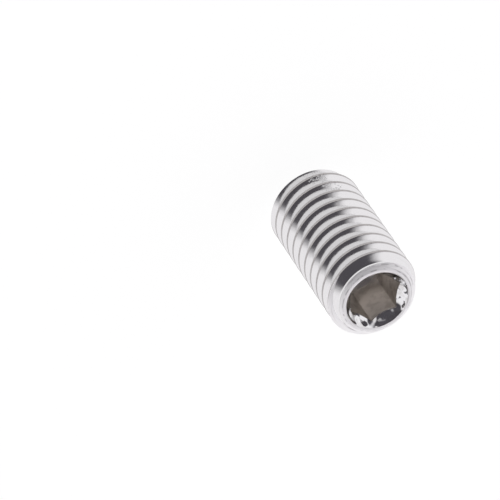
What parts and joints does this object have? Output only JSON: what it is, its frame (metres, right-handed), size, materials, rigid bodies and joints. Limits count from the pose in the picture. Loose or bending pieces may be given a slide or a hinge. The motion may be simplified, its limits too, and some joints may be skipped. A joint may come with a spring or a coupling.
{
  "type": "hex socket set screw",
  "caption": "Headless set screw with a full-length thread, a hex socket in one end and a hollow cup point on the other.",
  "frame": {"origin": "centre of the cup point's rim plane, on the axis of the screw", "axes": "+Z along the axis from the cup point to the socket face, +X through a corner of the hex socket"},
  "size_m": [0.006, 0.006, 0.012],
  "materials": {
    "bright_steel": "bright rolled stainless steel, with fine marks along the thread and a duller socket"
  },
  "bodies": {
    "root": {"set_screw": "bright_steel"}
  },
  "joints": []
}
